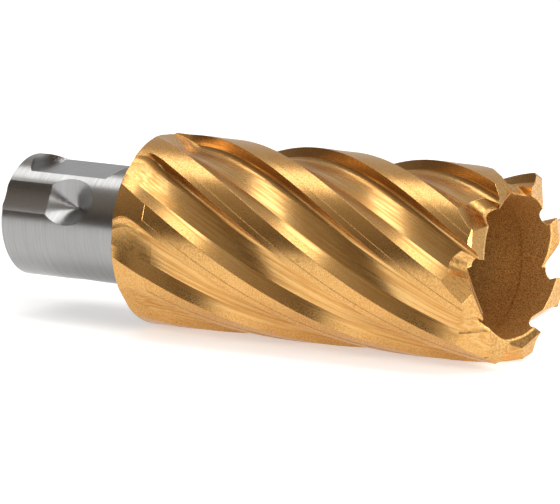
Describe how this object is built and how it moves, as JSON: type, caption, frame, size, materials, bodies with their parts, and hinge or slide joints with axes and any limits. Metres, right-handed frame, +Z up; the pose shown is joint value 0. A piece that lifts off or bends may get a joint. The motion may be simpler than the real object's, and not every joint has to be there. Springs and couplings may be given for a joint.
{
  "type": "annular cutter",
  "caption": "Annular core cutter for a magnetic drill: gold-coated fluted ring with teeth, ground quick-change shank and a sliding pilot pin.",
  "frame": {"origin": "centre of the head's shoulder face, where the shank meets it, on the tool axis", "axes": "+X along the tool axis from the shank towards the teeth, +Z up with the tool lying on its side, +Y to its left seen from behind the shank"},
  "size_m": [0.0899, 0.03, 0.03],
  "materials": {
    "ground_steel": "satin",
    "gold_coating": "satin",
    "pin_steel": "satin"
  },
  "bodies": {
    "cutter": {"shank": "ground_steel", "cutter_head": "gold_coating"},
    "pilot_pin": {"pilot_pin": "pin_steel"}
  },
  "joints": [
    {"name": "pin_slide", "type": "slide", "parent": "cutter", "child": "pilot_pin", "axis": [1, 0, 0], "range_m": [-0.037, 0.023]}
  ]
}
